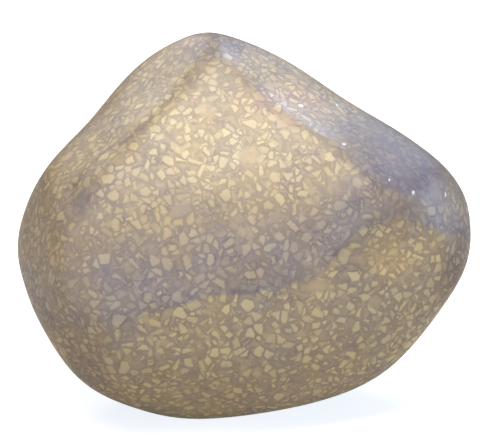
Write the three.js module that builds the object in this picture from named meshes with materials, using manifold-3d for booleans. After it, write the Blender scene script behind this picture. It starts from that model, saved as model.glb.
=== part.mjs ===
// A polished pebble of cast chip stone, as one solid.
//
// The pebble is a rounded block with broad worn faces. Each face is a plane at its own distance
// from the heart of the stone, and the stone is what lies behind all of them, with the edges
// between them worn round. Shallow dips and low swellings are then worked into the surface,
// and the underside is cut flat where the stone rests.
//
// Millimetres, +Z up. -Y is the broad front of the stone and +X its blunt nose.

import * as THREE from 'three';
import { mergeVertices } from 'three/addons/utils/BufferGeometryUtils.js';
import Module from 'manifold-3d';

// Driving dimensions
const FRONT_TIP = 12; // degrees by which the axis of the broad front tips up from level
const HEART_HEIGHT = 97.5; // mm from the flat underside up to the heart of the stone
const FLAT_TRIM = 3; // mm by which the flat cut trims the rounded underside
const EDGE_WEAR = 2.4; // mm, how softly the front faces run into each other
const BODY_WEAR = 4; // mm, how softly all the other faces meet
const DETAIL = 20; // how finely the surface is divided
const REACH = 200; // mm, a distance from the heart that is outside the stone everywhere
const HALVINGS = 30; // steps of the search for the surface along one line
const SAME_CORNER = 1e-4; // corners closer than this are one corner

const STONE_COLOUR = '#a89a86';

// Each face is [turn, lean, distance]. Turn goes around the front axis, in degrees, from 0 at the
// right through 90 at the top. Lean is the angle between the face's outward direction and the
// front axis, so 0 faces the viewer, 90 is edge-on and 180 is the back. Distance is in mm.
const FRONT_FACES = {
  upperFront: [95, 24, 69.2],
  middleFront: [102, 9, 70.5],
  lowerFront: [-70, 15, 79.5],
  upperLeft: [128, 55.5, 89],
  leftFlank: [169, 64, 110.5],
  rightShoulder: [62, 56, 83.5],
  rightKnob: [19, 40, 103],
  nose: [12, 56, 110.5],
  lowerRight: [-26, 31, 87],
};

const BELLY_FACES = {
  lowerLeft: [-142, 54, 116],
  belly: [-90, 57, 98.5],
  bellyRight: [-55, 51, 98],
  topCap: [85, 62, 106],
  underside: [-90, 90 + FRONT_TIP, HEART_HEIGHT + FLAT_TRIM],
};

// The outline seen along the front axis, as [turn, distance] of edge-on faces
const EDGE_ON = 90;
const OUTLINE = [
  [3, 131.5],
  [17, 139.8],
  [39, 112.5],
  [57, 95.3],
  [76, 112.5],
  [95, 124],
  [113, 125],
  [126, 118],
  [140, 105.5],
  [160, 120],
  [173, 136.5],
  [188, 133],
  [206, 119.5],
  [224, 121.5],
  [248, 110.5],
  [282, 100],
  [300, 109],
  [318, 116],
  [327, 115.5],
  [347, 141.5],
];

const BACK_FACES = {
  back: [70, 178, 83.5],
  backLeft: [172, 140, 94.5],
  backRight: [15, 142, 94.5],
  backTop: [95, 128, 91],
  backBelow: [-85, 140, 94],
  backLowLeft: [-140, 128, 104],
  backLowRight: [-40, 124, 106],
  backUpLeft: [135, 138, 91],
  backUpRight: [50, 132, 87],
  leftEnd: [175, 112, 123],
  rightEnd: [-5, 110, 122],
  heel: [-75, 115, 112],
  crown: [78, 108, 104],
};

// Dips and swellings are [centre, depth, half width in x, y and z], in mm from the heart.
// A negative depth swells outwards.
const DIPS = {
  rightSlope: [[52, -5, 68], 2.3, [19, 26, 14]],
  leftSlope: [[-81, 13, 59], 1.5, [14, 16, 14]],
  leftSpur: [[-73, -43, 41], -1.6, [11, 10, 9]],
  thumbMark: [[-87, -49, 25], 2.6, [6, 9, 9]],
  frontBandLeft: [[4, -72, -12], 1.9, [26, 14, 8]],
  frontBandRight: [[44, -64, 1], 1.4, [16, 14, 10]],
  shoulderSwell: [[51, -31, 56], -2.8, [14, 15, 13]],
  leftSwell: [[-52, -30, 60], -2, [16, 12, 12]],
  crestRound: [[14, -22, 81], 1.8, [15, 13, 13]],
};

/** The outward direction of a face, from its turn and lean around the front axis. */
function outward(turn, lean) {
  const around = THREE.MathUtils.degToRad(turn);
  const away = THREE.MathUtils.degToRad(lean);
  const tip = THREE.MathUtils.degToRad(FRONT_TIP);
  const right = Math.cos(around) * Math.sin(away);
  const up = Math.sin(around) * Math.sin(away);
  const front = Math.cos(away);
  return new THREE.Vector3(
    right,
    up * Math.sin(tip) - front * Math.cos(tip),
    up * Math.cos(tip) + front * Math.sin(tip),
  );
}

/** A face as its plane: the outward direction and the distance from the heart. */
function plane([turn, lean, distance]) {
  return { direction: outward(turn, lean), distance };
}

/** The largest of the values, rounded off where two or more of them come close. */
function softLargest(values, wear) {
  const largest = Math.max(...values);
  let sum = 0;
  for (const value of values) {
    sum += Math.exp((value - largest) / wear);
  }
  return largest + wear * Math.log(sum);
}

const frontPlanes = Object.values(FRONT_FACES).map(plane);
const bodyPlanes = [
  ...Object.values(BELLY_FACES),
  ...OUTLINE.map(([turn, distance]) => [turn, EDGE_ON, distance]),
  ...Object.values(BACK_FACES),
].map(plane);
const dips = Object.values(DIPS).map(([centre, depth, width]) => ({
  centre: new THREE.Vector3(...centre),
  depth,
  width: new THREE.Vector3(...width),
}));

/** How far a point lies outside the stone, in mm: negative inside and 0 on the surface. */
function outside(point) {
  const beyond = ({ direction, distance }) => point.dot(direction) - distance;
  const front = softLargest(frontPlanes.map(beyond), EDGE_WEAR);
  let result = softLargest([front, ...bodyPlanes.map(beyond)], BODY_WEAR);
  for (const { centre, depth, width } of dips) {
    const offset = point.clone().sub(centre).divide(width);
    result += depth * Math.exp(-0.5 * offset.lengthSq());
  }
  return result;
}

/** The distance from the heart to the surface along a direction, by halving the search. */
function surfaceDistance(direction) {
  let inner = 0;
  let outer = REACH;
  for (let step = 0; step < HALVINGS; step++) {
    const middle = (inner + outer) / 2;
    if (outside(direction.clone().multiplyScalar(middle)) < 0) {
      inner = middle;
    } else {
      outer = middle;
    }
  }
  return outer;
}

/** Merges a geometry's shared corners and leaves only their positions. */
function bareMesh(geometry) {
  geometry.deleteAttribute('normal');
  geometry.deleteAttribute('uv');
  return mergeVertices(geometry, SAME_CORNER);
}

/** The worn stone before its underside is cut, as a ball drawn in or out to the surface. */
function roundStone() {
  const geometry = bareMesh(new THREE.IcosahedronGeometry(1, DETAIL));
  const position = geometry.attributes.position;
  const corner = new THREE.Vector3();
  for (let i = 0; i < position.count; i++) {
    corner.fromBufferAttribute(position, i).normalize();
    corner.multiplyScalar(surfaceDistance(corner));
    position.setXYZ(i, corner.x, corner.y, corner.z);
  }
  return geometry;
}

/** The block of ground that cuts the underside flat. */
function ground() {
  const size = 2 * REACH;
  const block = new THREE.BoxGeometry(size, size, size);
  block.translate(0, 0, -HEART_HEIGHT - size / 2);
  return bareMesh(block);
}

const wasm = await Module();
wasm.setup();

/** A closed geometry as a solid that can be cut. */
function solid(geometry) {
  return new wasm.Manifold(
    new wasm.Mesh({
      numProp: 3,
      vertProperties: new Float32Array(geometry.attributes.position.array),
      triVerts: new Uint32Array(geometry.index.array),
    }),
  );
}

/** A solid as a geometry again, with its normals. */
function geometryOf(manifold) {
  const mesh = manifold.getMesh();
  const geometry = new THREE.BufferGeometry();
  geometry.setAttribute('position', new THREE.BufferAttribute(mesh.vertProperties, 3));
  geometry.setIndex(new THREE.BufferAttribute(mesh.triVerts, 1));
  geometry.computeVertexNormals();
  return geometry;
}

const geometry = geometryOf(solid(roundStone()).subtract(solid(ground())));

// Stand the stone on the ground, with the middle of its box over the origin.
geometry.computeBoundingBox();
const middle = geometry.boundingBox.getCenter(new THREE.Vector3());
geometry.translate(-middle.x, -middle.y, HEART_HEIGHT);

const material = new THREE.MeshStandardMaterial({
  color: STONE_COLOUR,
  roughness: 0.4,
  metalness: 0,
});

const pebble = new THREE.Mesh(geometry, material);
pebble.name = 'pebble';

const part = new THREE.Group();
part.add(pebble);

export default part;
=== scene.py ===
"""Dresses the polished pebble of cast chip stone.

One piece stands for the CAD solid: the same worn form with its facets smoothed away. Its finish
is a ground of grey-mauve binder full of pale angular chips, polished flush with it. Lengths in
this script are millimetres, and MM turns them into Blender's metres.
"""

import math

import bpy
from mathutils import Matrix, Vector


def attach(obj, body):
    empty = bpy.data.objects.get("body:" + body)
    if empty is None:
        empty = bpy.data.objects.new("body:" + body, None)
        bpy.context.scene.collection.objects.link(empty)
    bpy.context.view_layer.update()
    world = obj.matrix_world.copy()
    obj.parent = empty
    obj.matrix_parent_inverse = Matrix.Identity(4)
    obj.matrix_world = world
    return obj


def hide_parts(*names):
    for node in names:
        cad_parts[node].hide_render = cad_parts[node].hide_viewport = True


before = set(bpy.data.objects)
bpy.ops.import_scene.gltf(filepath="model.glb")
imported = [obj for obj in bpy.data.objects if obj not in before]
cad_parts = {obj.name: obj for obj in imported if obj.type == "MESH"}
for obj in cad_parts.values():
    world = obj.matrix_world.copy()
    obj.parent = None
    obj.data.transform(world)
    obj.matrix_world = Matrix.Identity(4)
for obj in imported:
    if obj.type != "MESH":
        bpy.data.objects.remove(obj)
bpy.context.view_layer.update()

MM = 0.001

# Form. The ripple dies out towards the ground, so the stone still rests flat.
SAME_CORNER = 0.01
SMOOTHING_LEVELS = 1
RIPPLE_HEIGHT = 0.15
RIPPLE_LENGTH = 34
RIPPLE_START = 10

# View: the broad front of the stone, seen from a little above
VIEW_ELEVATION = 12
VIEW_DISTANCE = 1100
VIEW_TARGET = (-1.8, -1.4, 102.6)
LENS = 150
SENSOR = 36

# Chip layers from coarse to splinters: (cell size, seed, share of cells left empty)
CHIP_LAYERS = [
    (6.0, 0.0, 0.08),
    (5.0, 31.0, 0.03),
    (3.7, 57.0, 0.05),
]
BURIED_CHIPS = (6.2, 83.0, 0.2)
# A chip whose middle is this near a coarser chip, or inside it, is left out
CROWDING = 0.6
# Taken off the depth inside a chip, this leaves nothing of it
DROPPED = 10.0
CELL_SCATTER = 0.9
# The cuts that shape a chip, in shares of its cell: the thickest and the thinnest slab, and the
# farthest and the nearest cut from the middle
SLAB_HALF = (0.58, 0.2)
CUT_PLACE = (0.56, 0.14)
# Each use of a cell's random numbers has a salt of its own
SLAB_SALT = 3.7
CUT_SALTS = (9.1, 29.3, 53.7)
CUT_PLACE_SALT = 17.3
SIZE_SALT = 23.9
TINT_SALT = 41.5
# Empty cells lie in clusters
CLUSTER_LENGTH = 12
CLUSTERING = 0.9
# The seam of binder round a chip, and the least part of it that any chip has
SEAM = 0.2
LEAST_SEAM = 0.4
# Depths inside a chip over which its edge, and then its paler core, come in
CHIP_EDGE = (-0.1, 0.6)
RIM_WIDTH = (0.1, 1.0)
RIM_SHADE = 0.94
CORE_SHADE = 1.02
BURIED_EDGE = 1.3
BURIED_SHOW = 0.5
# Chips with a random number over the first are sunk, and the faintest shows this much
SUNK_CHIPS = (0.4, 0.55)
ROSE_CHIPS = (0.5, 1.0)
WOBBLE = 1.0
WOBBLE_LENGTH = 1.9

# Ground between the chips. A pair of noise levels says where one look turns into the next.
MAUVE_LENGTH = 9
MAUVE_LEVELS = (0.38, 0.62)
DRIFT_LENGTH = 26
DRIFT_LEVELS = (0.3, 0.7)
OPEN_REACH = 2.2
OPEN_LIFT = 1.22
MOTTLE_LENGTH = 0.9
MOTTLE = 0.3
# Dirt in the seams. It comes in over the first pair of depths inside the nearest chip, which are
# outside it where negative, and goes out over the second.
DIRT_LENGTH = 15
DIRT_LEVELS = (0.5, 0.62)
DIRT_REACH = (-1.0, -0.25)
DIRT_END = (-0.1, 0.2)
SPECK_SPACING = 15
SPECK_RADIUS = (0.55, 0.825)
SPECK_SHOW = 0.9

# Polish
BINDER_ROUGHNESS = 0.42
CHIP_ROUGHNESS = 0.35
GLINT_SHARE = 0.05
GLINT_POLISH = 0.15
GLINT_TILT = 0.06
GLINT_EDGE = 0.3
STONE_IOR = 1.5
GRAIN_LENGTH = 1.5
GRAIN_DEPTH = 0.05
GRAIN_STRENGTH = 0.25

# Patches as (centre, half width). Each fades out from its core to its rim, which are shares of
# the half width.
PATCH_CORE = 0.55
PATCH_RIM = 1.25
PEACH_PATCHES = [
    ((3, -51, 149), (7, 7, 6)),
    ((-20, -35, 170), (6, 6, 6)),
    ((24, -40, 165), (6, 6, 5)),
    ((39, -75, 85), (6, 5, 4)),
    ((69, -62, 74), (4, 4, 3.5)),
    ((103, -37, 128), (6, 7, 6)),
]
SPARSE_PATCHES = [
    ((82, -57, 121), (16, 14, 8)),
    ((-85, -58, 124), (7, 10, 11)),
    ((-15, -70, 116), (8, 7, 6)),
]
SPARSENESS = 0.7
PEACH_SHOW = 0.75
# Painted glints: near-white spots where clear chips flash in the light
PAINTED_GLINTS = [
    ((31, -24, 171), (1.9, 2.2, 0.8)),
    ((51, -6, 169), (1.3, 2.0, 1.2)),
    ((53, -45, 154), (1.4, 1.6, 0.8)),
    ((76, -53, 136), (0.7, 1.3, 0.9)),
    ((89, -50, 129), (0.9, 1.5, 1.1)),
    ((108, -29, 124), (0.7, 1.3, 1.5)),
]

# Darker mauve lines along the left crease and the lower edges of the shoulder and the belt,
# as (corners of the line, half width, strength)
LINE_RIM = 1.6
PLACE_WAVER = 7
PLACE_WAVER_LENGTH = 10
DARK_LINES = [
    (
        [
            (-29, -18, 188),
            (-39, -27, 176),
            (-51, -37, 164),
            (-62, -42, 155),
            (-73, -38, 149),
            (-88, -46, 131),
        ],
        1.5,
        0.85,
    ),
    (
        [
            (46, -50, 152),
            (58, -56, 143),
            (73, -61, 131),
            (84, -56, 121),
        ],
        1.3,
        0.6,
    ),
    ([(-6, -80, 83), (8, -80, 84)], 1.6, 0.9),
    ([(48, -73, 101), (53, -72, 105)], 2.2, 0.8),
]

# The lower edge of the belt of painted shade as (x, z). It is crisp, and blurred towards
# the left end.
ZONE_SPAN = 250
BELT_EDGE = [
    (-125, 54),
    (-69, 66),
    (-45, 73),
    (-29, 77),
    (-16, 80),
    (5, 82),
    (24, 86),
    (39, 91),
    (46, 97),
    (52, 105),
    (60, 112),
    (76, 117),
    (93, 112),
    (125, 96),
]
BELT_HEIGHT = 30
BELT_BLUR = 1.3
LEFT_BLUR = 9
LEFT_STRETCH = (-85, -30)
BELT_FADE = 14
BELT_WAVER = 4
BELT_WAVER_LENGTH = 14
TOP_BLUR = 14

# Broad clouds of painted light, shade and reflection, each of one tint, as tint and places:
# (centre, half width, strength)
CLOUDS = {
    # Painted shade: cool on the crown, darker on the right rim and low on the left
    "painted shade": (
        (0.64, 0.63, 0.76),
        [
            ((-16, 0, 204), (40, 30, 16), 0.9),
            ((114, -32, 84), (16, 30, 26), 1.0),
            ((-86, -62, 38), (20, 34, 24), 0.5),
        ],
    ),
    # Painted cool shade in the hollow on the left and over the belt
    "mauve": (
        (0.70, 0.76, 1.0),
        [
            ((-88, -60, 118), (16, 20, 22), 0.45),
            ((-85, -58, 124), (6, 10, 11), 0.35),
            ((-62, -76, 100), (26, 20, 20), 0.5),
            ((34, -74, 114), (30, 20, 16), 0.3),
        ],
    ),
    # Painted light: a highlight on the bright upper front and the upper left face, and light low
    # on the left and along the bottom edge
    "pale": (
        (1.25, 1.25, 1.12),
        [
            ((-18, -48, 157), (46, 32, 32), 1.0),
            ((-46, -22, 174), (22, 24, 14), 0.45),
            ((-98, -68, 76), (20, 26, 24), 0.35),
            ((-15, -50, 6), (64, 36, 14), 1.0),
        ],
    ),
    # A painted pinkish sheen by the shoulder
    "painted sheen": (
        (1.17, 1.10, 1.13),
        [
            ((30, -20, 174), (26, 22, 12), 1.0),
            ((14, -32, 176), (20, 14, 16), 0.7),
        ],
    ),
    # Painted warm bounce light low on the right
    "painted warm bounce": ((1.23, 1.19, 1.04), [((86, -55, 94), (28, 24, 16), 1.0)]),
}
CLOUD_CORE = 0.2

# Painted reflections, and the veil, stop at the lower edge of the shoulder: a point on it
# and the way up from it
SHOULDER_EDGE = (59, -55, 142.5)
SHOULDER_UP = (0.62, 0.163, 0.768)
SHOULDER_BLUR = 1.5
# A painted reflection veil: part of the shoulder's chips fade into the binder, as under a
# glossy reflection
PAINTED_REFLECTION_VEIL = [((84, -28, 146), (42, 48, 28), 0.62)]
# Painted blue reflections of the window light, on the shoulder and on the nose
SHOULDER_REFLECTIONS = {
    "painted slate reflection": ((0.76, 0.80, 1.01), [((80, -26, 146), (38, 44, 28), 1.0)]),
    "painted blue reflection": ((1.05, 1.11, 1.20), [((106, -36, 119), (16, 24, 19), 1.0)]),
}
SHOULDER_CORE = 0.6

# Colours, linear
CHIP_OLIVE = (0.411, 0.351, 0.252)
CHIP_PALE = (0.478, 0.408, 0.297)
CHIP_ROSE = (0.455, 0.379, 0.286)
BINDER_MAUVE = (0.270, 0.230, 0.211)
BINDER_BROWN = (0.296, 0.243, 0.199)
BINDER_PEACH = (0.420, 0.338, 0.268)
SPECK = (0.30, 0.27, 0.26)
# The colour of a painted glint
PAINTED_GLINT = (0.80, 0.82, 0.90)

# Tints, which a colour is multiplied by
NO_TINT = (1.0, 1.0, 1.0)
# Painted light and shade: warm bounce light below the belt, shade along the belt's lower edge
# and over the belt, and key light on the top
PAINTED_BOUNCE_LIGHT = (1.07, 1.05, 0.97)
PAINTED_BELT_EDGE_SHADE = (0.79, 0.82, 0.95)
PAINTED_BELT_SHADE = (0.95, 0.96, 1.05)
PAINTED_TOP_LIGHT = (1.18, 1.14, 1.02)
# Warmer chips and ground below the belt, part of the painted warm bounce light there
LOW_CHIPS = (1.05, 1.065, 0.965)
LOW_GROUND = (0.95, 0.94, 0.885)
DRIFT_WARM = (1.05, 1.03, 0.97)
DRIFT_COOL = (0.95, 0.97, 1.03)
DARK_LINE_TINT = (0.68, 0.68, 0.82)
DIRT_TINT = (0.86, 0.84, 0.89)

# Floor and sky
FLOOR_HALF = 5000
FLOOR_ROUGHNESS = 0.9
FLOOR_COLOUR = (0.58, 0.50, 0.41)
FLOOR_GLOW = (0.80, 0.85, 0.92)
FLOOR_LIFT = 0.17
SKY_COLOUR = (0.9, 0.93, 1.0)
SKY_STRENGTH = 0.01

# Softboxes, all aimed at the stone: (name, azimuth, elevation, width, height, watts, colour)
SOFTBOX_DISTANCE = 3000
SOFTBOXES = [
    ("key", 10, 72, 1400, 1400, 64, (1.0, 0.9, 0.75)),
    ("front", -20, 58, 1400, 1400, 26, (1.0, 0.99, 0.97)),
    ("low front", 5, 28, 1400, 1400, 9, (0.45, 0.68, 1.0)),
    ("low fill", 35, 6, 1400, 500, 19, (0.9, 0.94, 1.0)),
    ("window", 100, 10, 1400, 700, 12, (0.45, 0.68, 1.0)),
    ("back right", 145, 58, 700, 700, 21, (0.46, 0.68, 1.0)),
    ("small lamp", 147, 58, 240, 240, 6, (0.75, 0.82, 1.0)),
    ("low back", 155, 34, 1400, 1400, 9, (0.45, 0.68, 1.0)),
    ("back left", -150, 44, 1400, 1400, 26, (0.98, 0.99, 1.0)),
]

# The middle of noise and of a cell's random numbers, which go from 0 to 1
MIDDLE = (0.5, 0.5, 0.5)


class Nodes:
    """Adds nodes to a tree and links them, with numbers and sockets taken alike."""

    def __init__(self, tree):
        self.tree = tree

    def add(self, kind, **settings):
        """A new node with its settings."""
        node = self.tree.nodes.new(kind)
        for name, value in settings.items():
            setattr(node, name, value)
        return node

    def feed(self, socket, value):
        """Links a socket to the input, or sets the input to a plain value."""
        if isinstance(value, bpy.types.NodeSocket):
            self.tree.links.new(value, socket)
        else:
            socket.default_value = value

    def maths(self, operation, *values, clamp=False):
        """The result of an operation on numbers."""
        node = self.add("ShaderNodeMath", operation=operation, use_clamp=clamp)
        for socket, value in zip(node.inputs, values):
            self.feed(socket, value)
        return node.outputs[0]

    def vector(self, operation, *values):
        """The result of an operation on vectors: a vector, or for some of them a number."""
        node = self.add("ShaderNodeVectorMath", operation=operation)
        for socket, value in zip(node.inputs, values):
            self.feed(socket, value)
        scalar = operation in ("DOT_PRODUCT", "LENGTH", "DISTANCE")
        return node.outputs["Value" if scalar else "Vector"]

    def scaled(self, vector, factor):
        """A vector or colour times a number."""
        node = self.add("ShaderNodeVectorMath", operation="SCALE")
        self.feed(node.inputs[0], vector)
        self.feed(node.inputs["Scale"], factor)
        return node.outputs[0]

    def parts(self, vector):
        """The three numbers of a vector."""
        node = self.add("ShaderNodeSeparateXYZ")
        self.feed(node.inputs[0], vector)
        return node.outputs

    def ramp(self, value, low, high, to_low=0.0, to_high=1.0):
        """A smooth step from one number to another, as the value goes from low to high."""
        node = self.add("ShaderNodeMapRange", interpolation_type="SMOOTHSTEP", clamp=True)
        for name, number in (
            ("Value", value),
            ("From Min", low),
            ("From Max", high),
            ("To Min", to_low),
            ("To Max", to_high),
        ):
            self.feed(node.inputs[name], number)
        return node.outputs["Result"]

    def blend(self, factor, first, second):
        """The first colour where the factor is 0, and the second where it is 1."""
        node = self.add("ShaderNodeMix", data_type="RGBA", clamp_factor=True)
        colours = [socket for socket in node.inputs if socket.type == "RGBA"]
        self.feed(node.inputs[0], factor)
        for socket, colour in zip(colours, (first, second)):
            is_colour = isinstance(colour, tuple)
            self.feed(socket, (*colour, 1.0) if is_colour else colour)
        return [socket for socket in node.outputs if socket.type == "RGBA"][0]

    def noise_outputs(self, position, length, detail):
        """The outputs of a noise with swells about the length across."""
        node = self.add("ShaderNodeTexNoise")
        self.feed(node.inputs["Vector"], position)
        node.inputs["Scale"].default_value = 1 / length
        node.inputs["Detail"].default_value = detail
        return node.outputs

    def noise(self, position, length, detail=2.0):
        """One number of noise from 0 to 1."""
        return self.noise_outputs(position, length, detail)["Fac"]

    def shaken(self, position, length, amount, detail):
        """A position shifted about by noise, up to half the amount either way."""
        colour = self.noise_outputs(position, length, detail)["Color"]
        shift = self.vector("SUBTRACT", colour, MIDDLE)
        return self.vector("ADD", position, self.scaled(shift, amount))

    def tinted(self, colour, mask, tint):
        """A colour times a tint where the mask is 1, and unchanged where it is 0."""
        return self.vector("MULTIPLY", colour, self.blend(mask, NO_TINT, tint))


def new_group(name, kind, inputs, outputs):
    """A node group with the named sockets, and its input and output nodes."""
    group = bpy.data.node_groups.new(name, kind)
    for direction, sockets in (("INPUT", inputs), ("OUTPUT", outputs)):
        for socket_name, socket_type, default in sockets:
            made = group.interface.new_socket(
                socket_name, in_out=direction, socket_type=socket_type
            )
            if default is not None:
                made.default_value = default
    source = group.nodes.new("NodeGroupInput")
    result = group.nodes.new("NodeGroupOutput")
    return group, source.outputs, result.inputs


def random_triple(nodes, cell, salt):
    """Three random numbers from 0 to 1 that are the same all over one cell."""
    node = nodes.add("ShaderNodeTexWhiteNoise", noise_dimensions="3D")
    nodes.feed(node.inputs["Vector"], nodes.vector("ADD", cell, (salt, salt, salt)))
    return node.outputs["Color"]


def random_way(nodes, cell, salt):
    """A random direction that is the same all over one cell."""
    centred = nodes.vector("SUBTRACT", random_triple(nodes, cell, salt), MIDDLE)
    return nodes.vector("NORMALIZE", centred)


def cut_chip(nodes, centre, offset, wall, thickness):
    """The depth inside a chip, in shares of its cell, at an offset from the cell's centre.

    A chip is its cell cut down by a slab and three planes that are turned at random. Wall is the
    distance to the cell's own wall.
    """
    thick, thin = SLAB_HALF
    half = nodes.maths("MULTIPLY_ADD", thickness, thick - thin, thin)
    across = nodes.vector("DOT_PRODUCT", offset, random_way(nodes, centre, SLAB_SALT))
    inside = nodes.maths("SUBTRACT", half, nodes.maths("ABSOLUTE", across))
    inside = nodes.maths("MINIMUM", inside, wall)
    far, near = CUT_PLACE
    cuts = nodes.parts(random_triple(nodes, centre, CUT_PLACE_SALT))
    for number, salt in zip(cuts, CUT_SALTS):
        cut = nodes.maths("MULTIPLY_ADD", number, far - near, near)
        along = nodes.vector("DOT_PRODUCT", offset, random_way(nodes, centre, salt))
        inside = nodes.maths("MINIMUM", inside, nodes.maths("SUBTRACT", cut, along))
    return inside


def empty_cells(nodes, centre_mm, chance, left_out):
    """1 in the cells that are left empty, which lie in clusters, and 0 in the others."""
    clusters = nodes.noise(centre_mm, CLUSTER_LENGTH, detail=0.0)
    clusters = nodes.maths("SUBTRACT", clusters, 0.5)
    share = nodes.maths("MULTIPLY_ADD", clusters, CLUSTERING, left_out)
    return nodes.maths("LESS_THAN", chance, share)


def chip_layer_group():
    """Crushed chips, one in each cell of a loose packing.

    The polished surface slices each chip to an angular flake. Inside is the depth in mm within
    the outline of the chip, negative outside it; Centre is the middle of its cell in mm.
    """
    group, given, result = new_group(
        "chip layer",
        "ShaderNodeTree",
        [
            ("Position", "NodeSocketVector", None),
            ("Cell size", "NodeSocketFloat", 7.0),
            ("Seam", "NodeSocketFloat", 0.3),
            ("Left out", "NodeSocketFloat", 0.1),
            ("Seed", "NodeSocketFloat", 0.0),
        ],
        [
            ("Inside", "NodeSocketFloat", None),
            ("Centre", "NodeSocketVector", None),
            ("Random", "NodeSocketVector", None),
        ],
    )
    nodes = Nodes(group)
    size = given["Cell size"]
    place = nodes.vector("DIVIDE", given["Position"], size)
    place = nodes.vector("ADD", place, given["Seed"])
    cells = nodes.add("ShaderNodeTexVoronoi", voronoi_dimensions="3D", feature="F1")
    edges = nodes.add(
        "ShaderNodeTexVoronoi", voronoi_dimensions="3D", feature="DISTANCE_TO_EDGE"
    )
    for node in (cells, edges):
        nodes.feed(node.inputs["Vector"], place)
        node.inputs["Scale"].default_value = 1.0
        node.inputs["Randomness"].default_value = CELL_SCATTER
    centre = cells.outputs["Position"]
    offset = nodes.vector("SUBTRACT", place, centre)
    centre_mm = nodes.vector("SUBTRACT", centre, given["Seed"])
    centre_mm = nodes.vector("MULTIPLY", centre_mm, size)

    thickness, gap, chance = nodes.parts(random_triple(nodes, centre, SIZE_SALT))
    inside = cut_chip(nodes, centre, offset, edges.outputs["Distance"], thickness)
    inside = nodes.maths("MULTIPLY", inside, size)
    seam = nodes.maths("MULTIPLY", given["Seam"], nodes.maths("ADD", gap, LEAST_SEAM))
    inside = nodes.maths("SUBTRACT", inside, seam)
    empty = empty_cells(nodes, centre_mm, chance, given["Left out"])
    inside = nodes.maths("SUBTRACT", inside, nodes.maths("MULTIPLY", empty, DROPPED))
    nodes.feed(result["Inside"], inside)
    nodes.feed(result["Centre"], centre_mm)
    nodes.feed(result["Random"], random_triple(nodes, centre, TINT_SALT))
    return group


def chip_tint_group():
    """The colour of one chip, from its random numbers: olive to pale, now and then rose."""
    group, given, result = new_group(
        "chip tint",
        "ShaderNodeTree",
        [("Random", "NodeSocketVector", None)],
        [("Colour", "NodeSocketColor", None)],
    )
    nodes = Nodes(group)
    shade, hue, _ = nodes.parts(given["Random"])
    tone = nodes.blend(shade, CHIP_OLIVE, CHIP_PALE)
    rose = nodes.ramp(hue, *ROSE_CHIPS)
    nodes.feed(result["Colour"], nodes.blend(rose, tone, CHIP_ROSE))
    return group


def soft_patch_group():
    """A patch that fades out from its centre, 1 in the middle."""
    group, given, result = new_group(
        "soft patch",
        "ShaderNodeTree",
        [
            ("Position", "NodeSocketVector", None),
            ("Centre", "NodeSocketVector", None),
            ("Half width", "NodeSocketVector", None),
            ("Core", "NodeSocketFloat", 0.5),
        ],
        [("Mask", "NodeSocketFloat", None)],
    )
    nodes = Nodes(group)
    offset = nodes.vector("SUBTRACT", given["Position"], given["Centre"])
    away = nodes.vector("LENGTH", nodes.vector("DIVIDE", offset, given["Half width"]))
    nodes.feed(result["Mask"], nodes.ramp(away, given["Core"], PATCH_RIM, 1.0, 0.0))
    return group


def line_mask_group():
    """A line from a start to an end that fades out to its sides, 1 along the middle."""
    group, given, result = new_group(
        "line mask",
        "ShaderNodeTree",
        [
            ("Position", "NodeSocketVector", None),
            ("Start", "NodeSocketVector", None),
            ("End", "NodeSocketVector", None),
            ("Half width", "NodeSocketFloat", 2.0),
        ],
        [("Mask", "NodeSocketFloat", None)],
    )
    nodes = Nodes(group)
    line = nodes.vector("SUBTRACT", given["End"], given["Start"])
    offset = nodes.vector("SUBTRACT", given["Position"], given["Start"])
    length = nodes.vector("DOT_PRODUCT", line, line)
    share = nodes.maths("DIVIDE", nodes.vector("DOT_PRODUCT", offset, line), length, clamp=True)
    away = nodes.vector("DISTANCE", offset, nodes.scaled(line, share))
    away = nodes.maths("DIVIDE", away, given["Half width"])
    nodes.feed(result["Mask"], nodes.ramp(away, 0.0, LINE_RIM, 1.0, 0.0))
    return group


def curve_through(nodes, value, places, span):
    """A smooth curve through (across, height) places, read off at a value across."""
    curve = nodes.add("ShaderNodeFloatCurve")
    share = nodes.maths("DIVIDE", value, span)
    nodes.feed(curve.inputs["Value"], nodes.maths("ADD", share, 0.5))
    points = curve.mapping.curves[0].points
    while len(points) > 2:
        points.remove(points[-1])
    marks = [(across / span + 0.5, height / span) for across, height in places]
    for point, mark in zip(points, (marks[0], marks[-1])):
        point.location = mark
    for mark in marks[1:-1]:
        points.new(*mark)
    curve.mapping.update()
    return nodes.maths("MULTIPLY", curve.outputs[0], span)


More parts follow.
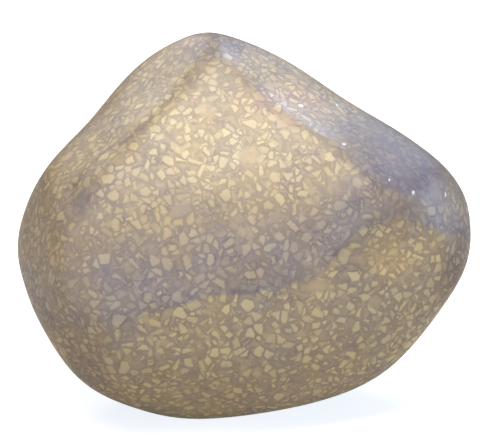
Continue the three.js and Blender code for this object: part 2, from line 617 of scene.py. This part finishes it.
def painted_light_zones_group():
    """Broad zones of painted light and shade: painted warm bounce light below, a belt of painted
    shade across the middle, and painted key light above.

    The painted shade is darkest along the belt's lower edge. Low is 1 below the belt.
    """
    group, given, result = new_group(
        "painted light zones",
        "ShaderNodeTree",
        [("Position", "NodeSocketVector", None)],
        [("Colour", "NodeSocketColor", None), ("Low", "NodeSocketFloat", None)],
    )
    nodes = Nodes(group)
    waver = nodes.noise(given["Position"], BELT_WAVER_LENGTH)
    waver = nodes.maths("MULTIPLY", nodes.maths("SUBTRACT", waver, 0.5), BELT_WAVER)
    across, _, height = nodes.parts(given["Position"])
    edge = curve_through(nodes, across, BELT_EDGE, ZONE_SPAN)
    over_edge = nodes.maths("SUBTRACT", nodes.maths("ADD", height, waver), edge)
    belt = nodes.blend(nodes.ramp(over_edge, 0.0, BELT_FADE), PAINTED_BELT_EDGE_SHADE, PAINTED_BELT_SHADE)
    blur = nodes.ramp(across, *LEFT_STRETCH, LEFT_BLUR, BELT_BLUR)
    above = nodes.ramp(nodes.maths("DIVIDE", over_edge, blur), -1.0, 1.0)
    colour = nodes.blend(above, PAINTED_BOUNCE_LIGHT, belt)
    over_belt = nodes.maths("SUBTRACT", over_edge, BELT_HEIGHT)
    top = nodes.ramp(over_belt, -TOP_BLUR, TOP_BLUR)
    nodes.feed(result["Colour"], nodes.blend(top, colour, PAINTED_TOP_LIGHT))
    nodes.feed(result["Low"], nodes.maths("SUBTRACT", 1.0, above))
    return group


def chips_at(nodes, position, settings):
    """One layer of chips at a position, from its (cell size, seed, share left empty)."""
    size, seed, left_out = settings
    node = nodes.add("ShaderNodeGroup", node_tree=bpy.data.node_groups["chip layer"])
    nodes.feed(node.inputs["Position"], position)
    node.inputs["Cell size"].default_value = size
    node.inputs["Seam"].default_value = SEAM
    node.inputs["Left out"].default_value = left_out
    node.inputs["Seed"].default_value = seed
    return node.outputs


def chip_layers(nodes, position):
    """The chip layers as (depth inside the chip, random numbers), coarse to splinters.

    A finer chip is left out whole if its middle lies in or near a coarser one, and gives way
    to a coarser one that reaches over it.
    """
    layers = []
    for number, settings in enumerate(CHIP_LAYERS):
        chips = chips_at(nodes, position, settings)
        inside = chips["Inside"]
        for coarser in CHIP_LAYERS[:number]:
            near = chips_at(nodes, chips["Centre"], coarser)["Inside"]
            crowded = nodes.maths("GREATER_THAN", near, -CROWDING)
            inside = nodes.maths("SUBTRACT", inside, nodes.maths("MULTIPLY", crowded, DROPPED))
        for above, _ in layers:
            room = nodes.maths("MULTIPLY_ADD", above, -1.0, -SEAM)
            inside = nodes.maths("MINIMUM", inside, room)
        layers.append((inside, chips["Random"]))
    return layers


def chip_tint(nodes, random):
    """The colour of a layer's chips from their random numbers."""
    node = nodes.add("ShaderNodeGroup", node_tree=bpy.data.node_groups["chip tint"])
    nodes.feed(node.inputs["Random"], random)
    return node.outputs["Colour"]


def soft_patch(nodes, position, centre, half_width, core):
    """The mask of one soft patch."""
    node = nodes.add("ShaderNodeGroup", node_tree=bpy.data.node_groups["soft patch"])
    nodes.feed(node.inputs["Position"], position)
    node.inputs["Centre"].default_value = centre
    node.inputs["Half width"].default_value = half_width
    node.inputs["Core"].default_value = core
    return node.outputs["Mask"]


def patches(nodes, position, places):
    """All of the patches in one mask."""
    mask = 0.0
    for centre, half_width in places:
        one = soft_patch(nodes, position, centre, half_width, PATCH_CORE)
        mask = nodes.maths("MAXIMUM", one, mask)
    return mask


def cloud_mask(nodes, position, places, core):
    """All of the places in one mask, each at its own strength."""
    mask = 0.0
    for centre, half_width, strength in places:
        one = soft_patch(nodes, position, centre, half_width, core)
        mask = nodes.maths("MULTIPLY_ADD", one, strength, mask)
    return mask


def dark_line(nodes, position, corners, half_width):
    """A dark line through all of the corners in one mask."""
    mask = 0.0
    for start, end in zip(corners, corners[1:]):
        node = nodes.add("ShaderNodeGroup", node_tree=bpy.data.node_groups["line mask"])
        nodes.feed(node.inputs["Position"], position)
        node.inputs["Start"].default_value = start
        node.inputs["End"].default_value = end
        node.inputs["Half width"].default_value = half_width
        mask = nodes.maths("MAXIMUM", node.outputs["Mask"], mask)
    return mask


def ground_colour(nodes, place, nearest, peach, buried_chips):
    """The binder: brown to mauve, paler where it lies open, with chips showing from below."""
    mauve = nodes.ramp(nodes.noise(place, MAUVE_LENGTH, detail=1.5), *MAUVE_LEVELS)
    binder = nodes.blend(mauve, BINDER_BROWN, BINDER_MAUVE)
    chip_starts, _ = CHIP_EDGE
    lift = nodes.ramp(nearest, -OPEN_REACH, chip_starts, OPEN_LIFT, 1.0)
    colour = nodes.scaled(binder, lift)
    buried = nodes.ramp(buried_chips["Inside"], 0.0, BURIED_EDGE)
    buried = nodes.maths("MULTIPLY", buried, BURIED_SHOW)
    colour = nodes.blend(buried, colour, chip_tint(nodes, buried_chips["Random"]))
    return nodes.blend(nodes.maths("MULTIPLY", peach, PEACH_SHOW), colour, BINDER_PEACH)


def with_chips(nodes, colour, layers, showing, mottle):
    """The chips laid over the ground's colour, some of them sunk and so fainter."""
    sunk_from, faintest = SUNK_CHIPS
    for inside, random in reversed(layers):
        sunk = nodes.ramp(nodes.parts(random)[2], sunk_from, 1.0, 1.0, faintest)
        mask = nodes.maths("MULTIPLY", nodes.ramp(inside, *CHIP_EDGE), sunk)
        mask = nodes.maths("MULTIPLY", mask, showing)
        rim = nodes.ramp(inside, *RIM_WIDTH, RIM_SHADE, CORE_SHADE)
        chip = nodes.scaled(chip_tint(nodes, random), nodes.maths("MULTIPLY", rim, mottle))
        colour = nodes.blend(mask, colour, chip)
    return colour


def with_zones(nodes, colour, cover, place, wavy_place, shoulder):
    """The colour with a drift of tone, broad zones of painted light and shade, darker lines and
    clouds of painted light, shade and reflection.
    """
    drift = nodes.ramp(nodes.noise(place, DRIFT_LENGTH, detail=1.0), *DRIFT_LEVELS)
    colour = nodes.vector("MULTIPLY", colour, nodes.blend(drift, DRIFT_WARM, DRIFT_COOL))
    # Broad zones of painted light and shade, with warmer chips and ground in the painted bounce
    zone = nodes.add("ShaderNodeGroup", node_tree=bpy.data.node_groups["painted light zones"])
    nodes.feed(zone.inputs["Position"], wavy_place)
    colour = nodes.vector("MULTIPLY", colour, zone.outputs["Colour"])
    low_tint = nodes.blend(cover, LOW_GROUND, LOW_CHIPS)
    colour = nodes.tinted(colour, zone.outputs["Low"], low_tint)
    # Darker mauve lines along the left crease and the lower edges of the shoulder and the belt
    lined = 0.0
    for corners, half_width, strength in DARK_LINES:
        line = nodes.maths("MULTIPLY", dark_line(nodes, wavy_place, corners, half_width), strength)
        lined = nodes.maths("MAXIMUM", line, lined)
    colour = nodes.tinted(colour, lined, DARK_LINE_TINT)
    # Clouds of painted light, shade and reflection
    for tint, places in CLOUDS.values():
        cloud = cloud_mask(nodes, wavy_place, places, CLOUD_CORE)
        colour = nodes.tinted(colour, cloud, tint)
    # Painted reflections, only above the shoulder's lower edge
    for tint, places in SHOULDER_REFLECTIONS.values():
        cloud = cloud_mask(nodes, wavy_place, places, SHOULDER_CORE)
        colour = nodes.tinted(colour, nodes.maths("MULTIPLY", cloud, shoulder), tint)
    return colour


def with_dirt_and_glints(nodes, colour, place, bent_place, nearest):
    """The colour with darker seams beside some chips, dark specks and a few painted glints."""
    beside = nodes.ramp(nearest, *DIRT_REACH)
    beside = nodes.maths("SUBTRACT", beside, nodes.ramp(nearest, *DIRT_END))
    dirty = nodes.ramp(nodes.noise(place, DIRT_LENGTH), *DIRT_LEVELS)
    colour = nodes.tinted(colour, nodes.maths("MULTIPLY", beside, dirty), DIRT_TINT)
    specks = nodes.add("ShaderNodeTexVoronoi", voronoi_dimensions="3D", feature="F1")
    nodes.feed(specks.inputs["Vector"], bent_place)
    specks.inputs["Scale"].default_value = 1 / SPECK_SPACING
    away = nodes.maths("MULTIPLY", specks.outputs["Distance"], SPECK_SPACING)
    speck = nodes.ramp(away, *SPECK_RADIUS, SPECK_SHOW, 0.0)
    colour = nodes.blend(speck, colour, SPECK)
    # A few painted glints
    return nodes.blend(patches(nodes, bent_place, PAINTED_GLINTS), colour, PAINTED_GLINT)


def polish(nodes, place, nearest, layers):
    """The roughness and normal of the polish: chips take more of it, and a few glint."""
    roughness = nodes.ramp(nearest, *CHIP_EDGE, BINDER_ROUGHNESS, CHIP_ROUGHNESS)
    normal = nodes.add("ShaderNodeNewGeometry").outputs["Normal"]
    for inside, random in layers[1:]:
        chip = nodes.ramp(inside, 0.0, GLINT_EDGE)
        lean = nodes.vector("SUBTRACT", random, MIDDLE)
        lean = nodes.scaled(lean, nodes.maths("MULTIPLY", chip, GLINT_TILT))
        normal = nodes.vector("NORMALIZE", nodes.vector("ADD", normal, lean))
        glint = nodes.maths("LESS_THAN", nodes.parts(random)[1], GLINT_SHARE)
        glint = nodes.maths("MULTIPLY", glint, chip)
        roughness = nodes.maths("MULTIPLY_ADD", glint, -GLINT_POLISH, roughness)
    bump = nodes.add("ShaderNodeBump")
    nodes.feed(bump.inputs["Normal"], normal)
    bump.inputs["Strength"].default_value = GRAIN_STRENGTH
    bump.inputs["Distance"].default_value = GRAIN_DEPTH * MM
    nodes.feed(bump.inputs["Height"], nodes.noise(place, GRAIN_LENGTH))
    return roughness, bump.outputs["Normal"]


def over_shoulder_edge(nodes, position):
    """A mask that is 1 above the lower edge of the shoulder and 0 below it."""
    offset = nodes.vector("SUBTRACT", position, SHOULDER_EDGE)
    height = nodes.vector("DOT_PRODUCT", offset, SHOULDER_UP)
    return nodes.ramp(height, -SHOULDER_BLUR, SHOULDER_BLUR)


def chips_showing(nodes, peach, wavy_place, shoulder):
    """1 where the chips show, less where binder lies over them, and less under the painted
    reflection veil.
    """
    sparse = nodes.maths(
        "MULTIPLY", patches(nodes, wavy_place, SPARSE_PATCHES), SPARSENESS
    )
    # The painted reflection veil on the shoulder
    veil = cloud_mask(nodes, wavy_place, PAINTED_REFLECTION_VEIL, SHOULDER_CORE)
    veil = nodes.maths("MULTIPLY", veil, shoulder)
    hidden = nodes.maths("MAXIMUM", nodes.maths("MAXIMUM", peach, sparse), veil)
    return nodes.maths("SUBTRACT", 1.0, hidden)


def chip_stone_material():
    """Pale chips in a grey-mauve binder, polished to a satin gloss, with painted light, shade
    and reflections in its colour.
    """
    chip_layer_group()
    chip_tint_group()
    soft_patch_group()
    line_mask_group()
    painted_light_zones_group()
    material = bpy.data.materials.new("chip stone")
    material.use_nodes = True
    material.node_tree.nodes.clear()
    nodes = Nodes(material.node_tree)
    object_place = nodes.add("ShaderNodeTexCoord").outputs["Object"]
    place = nodes.scaled(object_place, 1 / MM)
    bent_place = nodes.shaken(place, WOBBLE_LENGTH, WOBBLE, detail=1.0)
    wavy_place = nodes.shaken(place, PLACE_WAVER_LENGTH, PLACE_WAVER, detail=2.0)

    layers = chip_layers(nodes, bent_place)
    buried_chips = chips_at(nodes, bent_place, BURIED_CHIPS)
    nearest = layers[0][0]
    for inside, _ in layers[1:]:
        nearest = nodes.maths("MAXIMUM", nearest, inside)
    peach = patches(nodes, wavy_place, PEACH_PATCHES)
    shoulder = over_shoulder_edge(nodes, bent_place)
    showing = chips_showing(nodes, peach, wavy_place, shoulder)
    mottle = nodes.maths("SUBTRACT", nodes.noise(place, MOTTLE_LENGTH), 0.5)
    mottle = nodes.maths("MULTIPLY_ADD", mottle, MOTTLE, 1.0)

    colour = ground_colour(nodes, place, nearest, peach, buried_chips)
    colour = with_chips(nodes, colour, layers, showing, mottle)
    cover = nodes.maths("MULTIPLY", nodes.ramp(nearest, *CHIP_EDGE), showing)
    colour = with_zones(nodes, colour, cover, place, wavy_place, shoulder)
    colour = with_dirt_and_glints(nodes, colour, place, bent_place, nearest)
    roughness, normal = polish(nodes, place, nearest, layers)

    shader = nodes.add("ShaderNodeBsdfPrincipled")
    nodes.feed(shader.inputs["Base Color"], colour)
    nodes.feed(shader.inputs["Roughness"], roughness)
    nodes.feed(shader.inputs["Normal"], normal)
    shader.inputs["IOR"].default_value = STONE_IOR
    output = nodes.add("ShaderNodeOutputMaterial")
    nodes.feed(output.inputs["Surface"], shader.outputs["BSDF"])
    return material


def bare_copy(name, source):
    """A copy of a CAD node's mesh without its material, as an object at the origin."""
    mesh = source.data.copy()
    mesh.name = name
    mesh.materials.clear()
    copy = bpy.data.objects.new(name, mesh)
    bpy.context.scene.collection.objects.link(copy)
    return copy


def worn_stone_tree():
    """Geometry nodes that smooth the faceted stone and give its polish a slight ripple."""
    group, given, result = new_group(
        "worn stone",
        "GeometryNodeTree",
        [
            ("Stone", "NodeSocketGeometry", None),
            ("Levels", "NodeSocketInt", 1),
            ("Ripple height", "NodeSocketFloat", 0.0),
            ("Ripple length", "NodeSocketFloat", 0.03),
            ("Finish", "NodeSocketMaterial", None),
        ],
        [("Stone", "NodeSocketGeometry", None)],
    )
    nodes = Nodes(group)
    merge = nodes.add("GeometryNodeMergeByDistance")
    nodes.feed(merge.inputs["Geometry"], given["Stone"])
    merge.inputs["Distance"].default_value = SAME_CORNER * MM
    smooth = nodes.add("GeometryNodeSubdivisionSurface")
    nodes.feed(smooth.inputs["Mesh"], merge.outputs[0])
    nodes.feed(smooth.inputs["Level"], given["Levels"])
    place = nodes.add("GeometryNodeInputPosition").outputs[0]
    normal = nodes.add("GeometryNodeInputNormal").outputs[0]
    ripple = nodes.add("ShaderNodeTexNoise")
    nodes.feed(ripple.inputs["Vector"], nodes.vector("DIVIDE", place, given["Ripple length"]))
    ripple.inputs["Scale"].default_value = 1.0
    ripple.inputs["Detail"].default_value = 1.0
    height = nodes.maths("MULTIPLY", ripple.outputs[0], given["Ripple height"])
    above = nodes.maths("MULTIPLY", nodes.parts(place)[2], 1 / (RIPPLE_START * MM), clamp=True)
    inward = nodes.maths("MULTIPLY", nodes.maths("MULTIPLY", height, above), -1.0)
    shape = nodes.add("GeometryNodeSetPosition")
    nodes.feed(shape.inputs["Geometry"], smooth.outputs[0])
    nodes.feed(shape.inputs["Offset"], nodes.scaled(normal, inward))
    shade = nodes.add("GeometryNodeSetShadeSmooth")
    nodes.feed(shade.inputs["Geometry"], shape.outputs[0])
    real = nodes.add("GeometryNodeRealizeInstances")
    nodes.feed(real.inputs[0], shade.outputs[0])
    finish = nodes.add("GeometryNodeSetMaterial")
    nodes.feed(finish.inputs["Geometry"], real.outputs[0])
    nodes.feed(finish.inputs["Material"], given["Finish"])
    nodes.feed(result["Stone"], finish.outputs[0])
    return group


def made_plain(source, name):
    """The object's evaluated shape as a plain mesh object, in place of the object."""
    evaluated = source.evaluated_get(bpy.context.evaluated_depsgraph_get())
    mesh = bpy.data.meshes.new_from_object(evaluated)
    mesh.name = name
    bpy.data.objects.remove(source)
    plain = bpy.data.objects.new(name, mesh)
    bpy.context.scene.collection.objects.link(plain)
    return plain


def set_inputs(modifier, values):
    """Sets a geometry nodes modifier's inputs by their sockets' identifiers."""
    for item in modifier.node_group.interface.items_tree:
        if item.item_type == "SOCKET" and item.in_out == "INPUT" and item.name in values:
            modifier[item.identifier] = values[item.name]


def polished_stone(material):
    """The stone: the CAD solid's form, smoothed and dressed."""
    rough = bare_copy("rough stone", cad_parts["pebble"])
    modifier = rough.modifiers.new("worn stone", "NODES")
    modifier.node_group = worn_stone_tree()
    set_inputs(
        modifier,
        {
            "Levels": SMOOTHING_LEVELS,
            "Ripple height": RIPPLE_HEIGHT * MM,
            "Ripple length": RIPPLE_LENGTH * MM,
            "Finish": material,
        },
    )
    stone = made_plain(rough, "polished_stone")
    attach(stone, "root")
    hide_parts("pebble")
    return stone


def pale_floor():
    """A wide pale floor that looks almost white, but lights the stone only faintly."""
    material = bpy.data.materials.new("pale floor")
    material.use_nodes = True
    shader = material.node_tree.nodes["Principled BSDF"]
    shader.inputs["Roughness"].default_value = FLOOR_ROUGHNESS
    shader.inputs["Specular IOR Level"].default_value = 0.0
    nodes = Nodes(material.node_tree)
    seen = nodes.add("ShaderNodeLightPath").outputs["Is Camera Ray"]
    shader.inputs["Base Color"].default_value = (*FLOOR_COLOUR, 1.0)
    shader.inputs["Emission Color"].default_value = (*FLOOR_GLOW, 1.0)
    nodes.feed(shader.inputs["Emission Strength"], nodes.ramp(seen, 0.0, 1.0, FLOOR_LIFT, 1.0))
    mesh = bpy.data.meshes.new("floor")
    half = FLOOR_HALF * MM
    corners = [(-half, -half, 0), (half, -half, 0), (half, half, 0), (-half, half, 0)]
    mesh.from_pydata(corners, [], [(0, 1, 2, 3)])
    mesh.materials.append(material)
    floor = bpy.data.objects.new("floor", mesh)
    bpy.context.scene.collection.objects.link(floor)


def towards(azimuth, elevation):
    """A direction out from the stone: azimuth 0 is the front, 90 the right."""
    turn = math.radians(azimuth)
    rise = math.radians(elevation)
    return Vector(
        (math.sin(turn) * math.cos(rise), -math.cos(turn) * math.cos(rise), math.sin(rise))
    )


def camera():
    """The camera, aimed at the broad front of the stone."""
    data = bpy.data.cameras.new("camera")
    data.lens = LENS
    data.sensor_width = SENSOR
    target = Vector(VIEW_TARGET) * MM
    back = towards(0, VIEW_ELEVATION)
    made = bpy.data.objects.new("camera", data)
    made.location = target + back * VIEW_DISTANCE * MM
    made.rotation_euler = (-back).to_track_quat("-Z", "Y").to_euler()
    bpy.context.scene.collection.objects.link(made)
    bpy.context.scene.camera = made


def softboxes():
    """The lamps, each a soft rectangle that faces the stone."""
    aim = Vector(VIEW_TARGET) * MM
    for name, azimuth, elevation, width, height, power, colour in SOFTBOXES:
        data = bpy.data.lights.new(name, "AREA")
        data.shape = "RECTANGLE"
        data.size = width * MM
        data.size_y = height * MM
        data.energy = power
        data.color = colour
        out = towards(azimuth, elevation)
        light = bpy.data.objects.new(name, data)
        light.location = aim + out * SOFTBOX_DISTANCE * MM
        light.rotation_euler = out.to_track_quat("Z", "Y").to_euler()
        bpy.context.scene.collection.objects.link(light)


def surroundings():
    """A faint even light from all round."""
    world = bpy.data.worlds.new("surroundings")
    bpy.context.scene.world = world
    world.use_nodes = True
    background = world.node_tree.nodes["Background"]
    background.inputs["Color"].default_value = (*SKY_COLOUR, 1.0)
    background.inputs["Strength"].default_value = SKY_STRENGTH


bpy.context.scene.view_settings.view_transform = "Standard"
camera()
softboxes()
surroundings()
pale_floor()
polished_stone(chip_stone_material())
